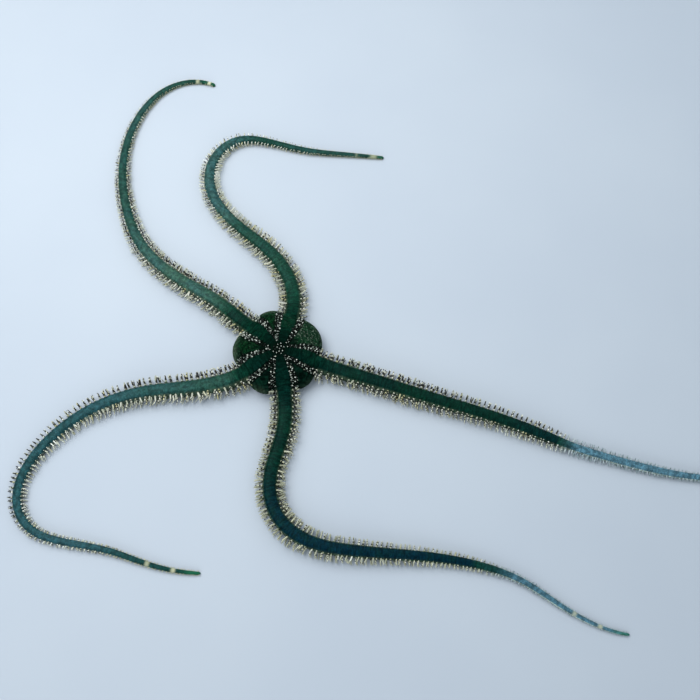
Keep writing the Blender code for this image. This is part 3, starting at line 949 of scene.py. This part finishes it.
# ---------------------------------------------------------------------------------------------------------------------
# Jaws
# ---------------------------------------------------------------------------------------------------------------------
def lump(bm, centre, axis, length, thick, rows=6, sides=10):
    """A rounded tooth: a blunt egg along an axis."""
    axis = Vector(axis).normalized()
    a = axis.cross(Vector((0, 0, 1)))
    if a.length < 1e-4:
        a = Vector((1, 0, 0))
    a.normalize()
    b = axis.cross(a)
    loops = []
    for i in range(1, rows):
        u = i / rows
        rad = math.sin(math.pi * u) ** 0.6 * (1 - 0.25 * u) * thick / 2
        p = Vector(centre) + axis * (length * (u - 0.5))
        loops.append(
            [
                bm.verts.new(p + a * (rad * math.cos(2 * math.pi * k / sides)) + b * (rad * math.sin(2 * math.pi * k / sides)))
                for k in range(sides)
            ]
        )
    p0 = bm.verts.new(Vector(centre) - axis * length * 0.5)
    p1 = bm.verts.new(Vector(centre) + axis * length * 0.5)
    for i in range(len(loops) - 1):
        for k in range(sides):
            bm.faces.new((loops[i][k], loops[i][(k + 1) % sides], loops[i + 1][(k + 1) % sides], loops[i + 1][k]))
    for k in range(sides):
        bm.faces.new((p0, loops[0][(k + 1) % sides], loops[0][k]))
        bm.faces.new((p1, loops[-1][k], loops[-1][(k + 1) % sides]))


def jaw_piece(name, angle, half_angle):
    bm = bmesh.new()
    steps = 14
    sides = 24
    loops = []
    for i in range(steps + 1):
        u = i / steps
        r = 1.15 + 3.95 * u
        hw = max(0.40, r * math.sin(half_angle) - 0.45 / math.cos(half_angle))
        reach = r * (1 - 0.12 * u)
        ends = (1 - abs(2 * u - 1) ** 6) ** 0.5 if 0 < u < 1 else 0.30
        lo, hi = 0.62 + 0.30 * (1 - u) ** 2, 3.5
        mid, tall = (lo + hi) / 2, (hi - lo) / 2
        ring = []
        for k in range(sides):
            a = 2 * math.pi * k / sides
            c, s = math.cos(a), math.sin(a)
            y = hw * math.copysign(abs(c) ** 0.55, c) * (0.55 + 0.45 * ends)
            z = mid + tall * math.copysign(abs(s) ** 0.55, s) * (0.6 + 0.4 * ends)
            groove = 0.16 * math.exp(-((y / 0.22) ** 2)) * (1 if s < 0 else 0)
            ring.append(bm.verts.new((reach, y, z + groove)))
        loops.append(ring)
    for i in range(steps):
        for k in range(sides):
            bm.faces.new((loops[i][k], loops[i + 1][k], loops[i + 1][(k + 1) % sides], loops[i][(k + 1) % sides]))
    bm.faces.new(loops[0])
    bm.faces.new(list(reversed(loops[-1])))
    for side in (-1, 1):
        for i in range(5):
            r = 1.5 + 0.80 * i
            hw = max(0.40, r * math.sin(half_angle) - 0.45 / math.cos(half_angle))
            lump(bm, (r * (1 - 0.12 * i / 5), side * (hw - 0.02), 0.82 + 0.02 * i), (-0.25, side * 1.0, -0.12), 0.95, 0.62 + 0.05 * i)
    for i in range(4):
        lump(bm, (1.20, 0.0, 1.0 + 0.70 * i), (-1.0, 0.0, -0.10), 0.90, 0.72)
    for v in bm.verts:
        c, s = math.cos(angle), math.sin(angle)
        x, y, z = v.co
        v.co = Vector(((x * c - y * s + DISC_X) * MM, (x * s + y * c + DISC_Y) * MM, z * MM))
    bmesh.ops.recalc_face_normals(bm, faces=bm.faces)
    mesh = bpy.data.meshes.new(name)
    bm.to_mesh(mesh)
    bm.free()
    all_smooth(mesh)
    return put(name, mesh)


jaws = []
for i in range(5):
    a = rim_sorted[i]
    nxt = rim_sorted[(i + 1) % 5] + (2 * math.pi if i == 4 else 0.0)
    jaws.append(jaw_piece("jaw_plate_%d" % (i + 1), (a + nxt) / 2, (nxt - a) / 2))


# ---------------------------------------------------------------------------------------------------------------------
# Materials
# ---------------------------------------------------------------------------------------------------------------------
class Nodes:
    def __init__(self, name):
        self.mat = bpy.data.materials.new(name)
        self.mat.use_nodes = True
        self.tree = self.mat.node_tree
        self.tree.nodes.clear()
        self.out = self.tree.nodes.new("ShaderNodeOutputMaterial")
        self.shader = self.tree.nodes.new("ShaderNodeBsdfPrincipled")
        self.tree.links.new(self.shader.outputs[0], self.out.inputs[0])

    def feed(self, socket, value):
        if isinstance(value, bpy.types.NodeSocket):
            self.tree.links.new(value, socket)
        else:
            socket.default_value = value

    def math(self, op, a, b=0.0, clamp=False):
        node = self.tree.nodes.new("ShaderNodeMath")
        node.operation = op
        node.use_clamp = clamp
        self.feed(node.inputs[0], a)
        self.feed(node.inputs[1], b)
        return node.outputs[0]

    def ramp(self, value, lo, hi, to_lo=0.0, to_hi=1.0):
        node = self.tree.nodes.new("ShaderNodeMapRange")
        node.interpolation_type = "SMOOTHSTEP"
        self.feed(node.inputs[0], value)
        for i, v in enumerate((lo, hi, to_lo, to_hi)):
            node.inputs[i + 1].default_value = v
        return node.outputs[0]

    def mix(self, share, a, b):
        node = self.tree.nodes.new("ShaderNodeMix")
        node.data_type = "RGBA"
        self.feed(node.inputs[0], share)
        self.feed(node.inputs[6], a if isinstance(a, bpy.types.NodeSocket) else (*a, 1.0))
        self.feed(node.inputs[7], b if isinstance(b, bpy.types.NodeSocket) else (*b, 1.0))
        return node.outputs[2]

    def value(self, name):
        node = self.tree.nodes.new("ShaderNodeAttribute")
        node.attribute_name = name
        return node.outputs["Fac"]

    def parts(self, name):
        node = self.tree.nodes.new("ShaderNodeAttribute")
        node.attribute_name = name
        split = self.tree.nodes.new("ShaderNodeSeparateXYZ")
        self.tree.links.new(node.outputs["Vector"], split.inputs[0])
        return split.outputs[0], split.outputs[1], split.outputs[2]

    def position(self):
        if not hasattr(self, "_at"):
            self._at = self.tree.nodes.new("ShaderNodeTexCoord").outputs["Object"]
        return self._at

    def joined(self, x, y, z=0.0):
        node = self.tree.nodes.new("ShaderNodeCombineXYZ")
        for i, v in enumerate((x, y, z)):
            self.feed(node.inputs[i], v)
        return node.outputs[0]

    def times(self, colour, value):
        node = self.tree.nodes.new("ShaderNodeVectorMath")
        node.operation = "SCALE"
        self.tree.links.new(colour, node.inputs[0])
        self.feed(node.inputs["Scale"], value)
        return node.outputs[0]

    def noise(self, scale, detail=2.0, rough=0.5, vector=None):
        node = self.tree.nodes.new("ShaderNodeTexNoise")
        self.feed(node.inputs["Vector"], vector or self.position())
        node.inputs["Scale"].default_value = scale
        node.inputs["Detail"].default_value = detail
        node.inputs["Roughness"].default_value = rough
        return node.outputs["Fac"]

    def cells(self, scale, feature="F1", out="Distance"):
        node = self.tree.nodes.new("ShaderNodeTexVoronoi")
        node.feature = feature
        self.feed(node.inputs["Vector"], self.position())
        node.inputs["Scale"].default_value = scale
        return node.outputs[out]

    def bump(self, height, strength, distance, under=None):
        node = self.tree.nodes.new("ShaderNodeBump")
        node.inputs["Strength"].default_value = strength
        node.inputs["Distance"].default_value = distance
        self.feed(node.inputs["Height"], height)
        if under is not None:
            self.feed(node.inputs["Normal"], under)
        return node.outputs[0]


def skin_material():
    m = Nodes("skin_green")
    band, side, under = m.parts("zones")
    disc, row, inner = m.parts("discs")
    tips, blue, bright = m.parts("tones")
    q = m.value("joint")
    f = m.math("FRACT", q)
    edge = m.math("MINIMUM", f, m.math("SUBTRACT", 1.0, f))
    groove = m.ramp(edge, 0.03, 0.13, 1.0, 0.0)
    broad = m.noise(55.0, 3.0, 0.6)
    mid = m.noise(330.0, 4.0, 0.6)
    fine = m.noise(1500.0, 4.0, 0.6)
    # dorsal plates: deep teal, greener in places, bluer far out
    base = m.mix(m.ramp(broad, 0.38, 0.62), (0.0005, 0.0105, 0.0078), (0.0010, 0.0160, 0.0086))
    base = m.mix(m.math("MULTIPLY", blue, m.ramp(mid, 0.2, 0.6, 0.5, 0.7)), base, (0.0006, 0.0125, 0.0250))
    base = m.mix(m.ramp(mid, 0.35, 0.70, 0.0, 0.55), base, (0.0020, 0.0200, 0.0135))
    base = m.mix(m.ramp(fine, 0.52, 0.74, 0.0, 0.5), base, (0.0006, 0.0085, 0.0068))
    # painted sheen: the back is painted a little darker where no sheen is painted, and paler grey-teal, mottled, where
    # the wet skin caught the light
    base = m.times(base, m.ramp(m.value("painted_sheen"), 0.0, 0.10, 0.85, 1.0))
    base = m.mix(m.ramp(m.value("painted_sheen"), 0.01, 0.10, 0.0, 0.9), base, (0.0013, 0.0235, 0.0125))
    painted_sheen_colour = m.mix(m.ramp(m.noise(170.0, 3.0, 0.6), 0.38, 0.62), (0.0290, 0.0700, 0.0490), (0.0230, 0.0620, 0.0560))
    painted_sheen_colour = m.mix(blue, painted_sheen_colour, (0.0210, 0.0620, 0.0860))
    painted_sheen_share = m.math("MULTIPLY", m.value("painted_sheen"), m.ramp(mid, 0.30, 0.65, 0.55, 0.80))
    base = m.mix(m.math("MINIMUM", painted_sheen_share, 0.98), base, painted_sheen_colour)
    # painted glare: where the painted sheen passes 1, the back is painted pale blue
    lift = m.ramp(m.value("painted_sheen"), 1.0, 1.8, 0.0, 1.0)
    base = m.mix(lift, base, (0.0570, 0.1300, 0.1720))
    base = m.mix(m.math("MULTIPLY", groove, 0.13), base, (0.0005, 0.0060, 0.0052))
    # lateral strips: olive, with paler flecks; where sheen is painted on the back it is painted on the flanks too, and
    # far out along the arm the flanks are painted pale to fill their shade
    olive = m.mix(m.ramp(mid, 0.30, 0.65), (0.0190, 0.0460, 0.0270), (0.0520, 0.0720, 0.0450))
    olive = m.mix(m.math("MULTIPLY", groove, 0.4), olive, (0.0020, 0.0090, 0.0040))
    _, _, share = m.parts("place")
    olive = m.mix(m.ramp(share, 0.78, 0.92, 0.0, 0.8), olive, (0.0800, 0.1000, 0.0300))
    outward = m.ramp(share, 0.26, 0.42)
    # painted light on the flanks, paler far out along the arm, standing in for the light their shaded side does not get
    painted_flank_light = m.mix(outward, (0.0800, 0.0950, 0.0600), (0.500, 0.550, 0.440))
    painted_flank_light = m.mix(m.ramp(mid, 0.35, 0.65, 0.0, 0.5), painted_flank_light, (0.160, 0.210, 0.150))
    olive = m.mix(m.math("MULTIPLY", painted_sheen_share, m.math("ADD", 0.65, m.math("MULTIPLY", outward, 0.3))), olive, m.mix(m.math("ADD", 0.5, m.math("MULTIPLY", outward, 0.45)), painted_sheen_colour, painted_flank_light))
    base = m.mix(m.math("MULTIPLY", side, 0.85), base, olive)
    # disc
    grain = m.cells(2300.0)
    patch = m.noise(420.0, 3.0, 0.6)
    lobes = m.mix(m.ramp(patch, 0.42, 0.57), (0.0003, 0.0042, 0.0016), (0.0018, 0.0240, 0.0068))
    lobes = m.mix(m.ramp(m.noise(1300.0, 2.0, 0.5), 0.50, 0.72, 0.0, 0.7), lobes, (0.0040, 0.0330, 0.0115))
    lobes = m.mix(m.ramp(grain, 0.25, 0.60, 0.0, 0.65), lobes, (0.0003, 0.0038, 0.0015))
    rim, _, _ = m.parts("place")
    flecks = m.math("MULTIPLY", m.ramp(m.noise(1500.0, 2.0, 0.5), 0.53, 0.66, 0.0, 0.8), m.ramp(rim, 13.5, 17.5))
    lobes = m.mix(flecks, lobes, (0.0300, 0.0520, 0.0340))
    paler, lower, _ = m.parts("lobed")
    lobes = m.mix(m.math("MULTIPLY", paler, 0.4), lobes, (0.0090, 0.0260, 0.0150))
    clumps = m.math("MULTIPLY", m.ramp(m.noise(1150.0, 4.0, 0.7), 0.53, 0.60), m.ramp(m.noise(2100.0, 2.0, 0.5), 0.44, 0.58))
    lobes = m.mix(m.math("MULTIPLY", clumps, m.math("MULTIPLY", paler, 0.95)), lobes, (0.1000, 0.1300, 0.1000))
    lobes = m.mix(m.math("MULTIPLY", lower, 0.85), lobes, m.mix(m.ramp(patch, 0.42, 0.57), (0.0004, 0.0022, 0.0018), (0.0014, 0.0080, 0.0056)))
    base = m.mix(m.math("MULTIPLY", disc, m.math("SUBTRACT", 1.0, m.math("MULTIPLY", band, 0.75))), base, lobes)
    base = m.mix(inner, base, (0.0006, 0.0045, 0.0030))
    base = m.mix(m.math("MULTIPLY", row, 0.94), base, (0.0012, 0.0026, 0.0018))
    # fine streaks across the arms, where the small plates meet
    run, sideways, _ = m.parts("place")
    streak = m.noise(1.0, 2.0, 0.6, m.joined(m.math("MULTIPLY", run, 1.25), m.math("MULTIPLY", sideways, 0.28)))
    speck = m.noise(1.0, 2.0, 0.6, m.joined(m.math("MULTIPLY", run, 2.1), m.math("MULTIPLY", sideways, 1.5), 7.0))
    strong = m.ramp(m.value("painted_sheen"), 0.10, 0.60, 1.0, 0.22)
    streak = m.math("ADD", 1.0, m.math("MULTIPLY", strong, m.ramp(streak, 0.30, 0.70, -0.44, 0.52)))
    blotch = m.noise(1.0, 3.0, 0.6, m.joined(m.math("MULTIPLY", run, 0.55), m.math("MULTIPLY", sideways, 0.55), 3.0))
    blotch = m.math("ADD", 1.0, m.math("MULTIPLY", m.math("SUBTRACT", 1.40, strong), m.ramp(blotch, 0.34, 0.66, -0.34, 0.38)))
    base = m.times(base, m.math("MULTIPLY", m.math("MULTIPLY", streak, blotch), m.ramp(speck, 0.30, 0.70, 0.68, 1.38)))
    # underside
    pale = m.mix(m.ramp(mid, 0.35, 0.65), (0.33, 0.36, 0.22), (0.50, 0.51, 0.36))
    pale = m.mix(m.math("MULTIPLY", groove, 0.55), pale, (0.11, 0.14, 0.075))
    base = m.mix(under, base, pale)
    # tips
    base = m.mix(m.math("MULTIPLY", bright, 0.55), base, (0.012, 0.120, 0.050))
    base = m.mix(tips, base, (0.44, 0.44, 0.29))
    m.feed(m.shader.inputs["Base Color"], base)
    rough = m.ramp(fine, 0.3, 0.7, 0.38, 0.46)
    far, _, _ = m.parts("place")
    dull = m.ramp(far, 17.0, 24.0, 0.26, 0.0)
    m.feed(m.shader.inputs["Roughness"], m.math("ADD", rough, dull))
    m.feed(m.shader.inputs["IOR"], m.ramp(far, 14.0, 22.0, 1.12, 1.26))
    moist = m.math("ADD", m.ramp(far, 15.0, 24.0, 0.06, 0.13), m.ramp(m.value("painted_sheen"), 0.0, 1.0, 0.0, 0.22))
    m.feed(m.shader.inputs["Specular IOR Level"], moist)
    m.shader.inputs["Specular Tint"].default_value = (0.52, 1.0, 0.95, 1.0)
    pits = m.bump(m.math("MULTIPLY", grain, disc), 0.55, 0.00012)
    leather = m.bump(m.noise(2600.0, 3.0, 0.55), 0.30, 0.00008, pits)
    lines_ = m.bump(m.math("SUBTRACT", 1.0, groove), 0.25, 0.00005, leather)
    m.feed(m.shader.inputs["Normal"], lines_)
    return m.mat


def spine_material():
    m = Nodes("spine_banded")
    mark = m.value("mark")
    shade = m.value("shade")
    along = m.value("along")
    fuzz = m.math("MULTIPLY", m.math("SUBTRACT", m.noise(1400.0, 2.0, 0.5), 0.5), 0.45)
    v = m.math("ADD", mark, fuzz)
    out_far = m.ramp(m.value("far"), 0.34, 0.48)
    v_in = m.math("SUBTRACT", v, m.math("MULTIPLY", out_far, m.ramp(shade, 0.0, 1.0, -0.25, 0.30)))
    v_out = m.math("ADD", v, m.math("MULTIPLY", out_far, m.ramp(shade, 0.0, 1.0, 0.25, -0.15)))
    v_out = m.math("SUBTRACT", v_out, m.value("running"))
    first = m.math("MULTIPLY", m.ramp(v_in, 0.32, 0.44), m.ramp(v_out, 1.20, 1.34, 1.0, 0.0))
    first = m.math("MULTIPLY", first, m.ramp(m.value("level"), 0.10, 0.45, 0.85, 1.0))
    v_2 = m.math("ADD", v, m.math("MULTIPLY", out_far, 0.42))
    second = m.math("MULTIPLY", m.ramp(v_2, 1.92, 2.04), m.ramp(v_2, 2.38, 2.52, 1.0, 0.0))
    second = m.math("MULTIPLY", second, m.math("MULTIPLY", m.ramp(shade, 0.22, 0.32), m.math("SUBTRACT", 1.0, m.math("MULTIPLY", out_far, 0.15))))
    beads = m.math("MULTIPLY", m.ramp(v, 9.0, 9.2), m.ramp(v, 10.30, 10.46, 1.0, 0.0))
    rings = m.math("MULTIPLY", m.math("MAXIMUM", first, second), m.ramp(m.value("far"), 0.80, 0.92, 1.0, 0.3))
    rings = m.math("MULTIPLY", rings, m.value("marked"))
    regrown = m.value("regrown")
    rings = m.math("MULTIPLY", rings, m.math("SUBTRACT", 1.0, m.math("MULTIPLY", regrown, m.ramp(shade, 0.1, 0.4, 0.35, 0.9))))
    dark = m.math("MAXIMUM", rings, beads)
    pale = m.mix(m.ramp(shade, 0.1, 0.8), (0.32, 0.34, 0.26), (0.54, 0.55, 0.47))
    pale = m.mix(out_far, pale, m.mix(m.ramp(shade, 0.1, 0.8), (0.46, 0.49, 0.39), (0.74, 0.77, 0.70)))
    pale = m.mix(m.ramp(shade, 0.84, 0.95), pale, (0.40, 0.38, 0.19))
    pale = m.mix(m.math("MULTIPLY", m.value("straw"), 0.9), pale, m.mix(shade, (0.20, 0.21, 0.135), (0.41, 0.42, 0.30)))
    pale = m.mix(m.ramp(m.value("far"), 0.74, 0.88, 0.0, 0.75), pale, (0.40, 0.39, 0.24))
    pale = m.mix(m.math("MULTIPLY", regrown, 0.95), pale, m.mix(shade, (0.16, 0.24, 0.27), (0.40, 0.47, 0.50)))
    bead = m.mix(m.ramp(shade, 0.15, 0.95), (0.09, 0.12, 0.10), (0.48, 0.52, 0.46))
    pale = m.mix(m.ramp(v, 9.0, 9.2), pale, bead)
    pale = m.mix(m.ramp(m.noise(900.0, 3.0, 0.6), 0.55, 0.75, 0.0, 0.5), pale, (0.36, 0.38, 0.20))
    rooty = m.mix(m.ramp(shade, 0.0, 1.0), (0.045, 0.080, 0.045), (0.110, 0.130, 0.075))
    rooty = m.mix(m.math("MULTIPLY", out_far, 0.75), rooty, (0.250, 0.290, 0.190))
    rooty = m.mix(regrown, rooty, (0.110, 0.190, 0.220))
    pale = m.mix(m.ramp(v, -0.20, 0.10, 1.0, 0.0), pale, rooty)
    colour = m.mix(m.math("MULTIPLY", dark, 0.985), pale, (0.0022, 0.0032, 0.0026))
    m.feed(m.shader.inputs["Base Color"], colour)
    m.feed(m.shader.inputs["Roughness"], m.ramp(m.noise(2500.0), 0.3, 0.7, 0.38, 0.52))
    m.shader.inputs["IOR"].default_value = 1.40
    m.feed(m.shader.inputs["Normal"], m.bump(m.noise(5200.0, 2.0), 0.25, 0.00004))
    return m.mat


def jaw_material():
    m = Nodes("jaw_pale")
    mid = m.noise(600.0, 4.0, 0.6)
    fine = m.noise(2400.0, 3.0, 0.6)
    colour = m.mix(m.ramp(mid, 0.3, 0.7), (0.40, 0.40, 0.25), (0.60, 0.57, 0.42))
    colour = m.mix(m.ramp(fine, 0.58, 0.75, 0.0, 0.6), colour, (0.14, 0.20, 0.10))
    m.feed(m.shader.inputs["Base Color"], colour)
    m.feed(m.shader.inputs["Roughness"], m.ramp(fine, 0.3, 0.7, 0.34, 0.50))
    m.shader.inputs["IOR"].default_value = 1.42
    m.feed(m.shader.inputs["Normal"], m.bump(fine, 0.35, 0.00006))
    return m.mat


def floor_material():
    m = Nodes("floor_pale")
    cloud = m.noise(9.0, 3.0, 0.5)
    colour = m.mix(m.ramp(cloud, 0.3, 0.7), (0.362, 0.408, 0.460), (0.380, 0.426, 0.474))
    m.feed(m.shader.inputs["Base Color"], colour)
    m.shader.inputs["Roughness"].default_value = 0.75
    m.shader.inputs["Specular IOR Level"].default_value = 0.15
    return m.mat


skin.data.materials.append(skin_material())
banded = spine_material()
for o in (*spine_objects, spinelets):
    o.data.materials.append(banded)
pale_jaw = jaw_material()
for o in jaws:
    o.data.materials.append(pale_jaw)

# ---------------------------------------------------------------------------------------------------------------------
# What each piece stands for
# ---------------------------------------------------------------------------------------------------------------------
flesh = ["disc"] + ["arm_%s_%d" % (k, i) for k in ARMS for i in range(1, 6)]
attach(skin, "root")
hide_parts(*flesh)
for o in (*spine_objects, spinelets):
    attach(o, "root")
for i, o in enumerate(jaws):
    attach(o, "root")
    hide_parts("jaw_%d" % (i + 1))

# ---------------------------------------------------------------------------------------------------------------------
# Floor and light
# ---------------------------------------------------------------------------------------------------------------------
bm = bmesh.new()
bmesh.ops.create_grid(bm, x_segments=4, y_segments=4, size=2.5)
floor_mesh = bpy.data.meshes.new("floor")
bm.to_mesh(floor_mesh)
bm.free()
floor = put("floor", floor_mesh)
floor.data.materials.append(floor_material())


def softbox(name, place, target, long_way, size, power, colour):
    """An area light at place that faces target; its long side runs along long_way."""
    data = bpy.data.lights.new(name, "AREA")
    data.shape = "RECTANGLE"
    data.size, data.size_y = size
    data.energy = power
    data.color = colour
    obj = bpy.data.objects.new(name, data)
    scene.collection.objects.link(obj)
    z = (Vector(place) - Vector(target)).normalized()
    x = Vector(long_way)
    x = (x - z * x.dot(z)).normalized()
    y = z.cross(x)
    turn = Matrix((x, y, z)).transposed()
    obj.matrix_world = Matrix.Translation(place) @ turn.to_4x4()
    return obj


softbox("key", (-0.17, 0.20, 0.44), (-0.13, 0.06, 0.0), (0.22, 0.52, 0.0), (0.50, 0.30), 0.5, (1.0, 1.0, 0.98))
softbox("left", (-0.24, 0.09, 0.37), (-0.17, 0.03, 0.0), (0.0, 1.0, 0.0), (0.46, 0.28), 1.85, (1.0, 1.0, 1.0))
softbox("side", (0.36, 0.26, 0.32), (0.15, 0.0, 0.0), (0.3, 0.5, 0.0), (0.40, 0.30), 0.65, (0.90, 0.96, 1.0))
softbox("fill", (0.03, 0.16, 0.31), (-0.10, 0.11, 0.0), (0.0, 1.0, 0.0), (0.26, 0.22), 0.25, (1.0, 1.0, 1.0))
softbox("front", (-0.05, -0.60, 0.24), (0.0, 0.0, 0.0), (1.0, 0.0, 0.0), (0.80, 0.24), 1.45, (0.92, 0.97, 1.0))
world = bpy.data.worlds.new("studio")
world.use_nodes = True
world.node_tree.nodes["Background"].inputs[0].default_value = (0.78, 0.86, 0.95, 1.0)
world.node_tree.nodes["Background"].inputs[1].default_value = 0.62
scene.world = world
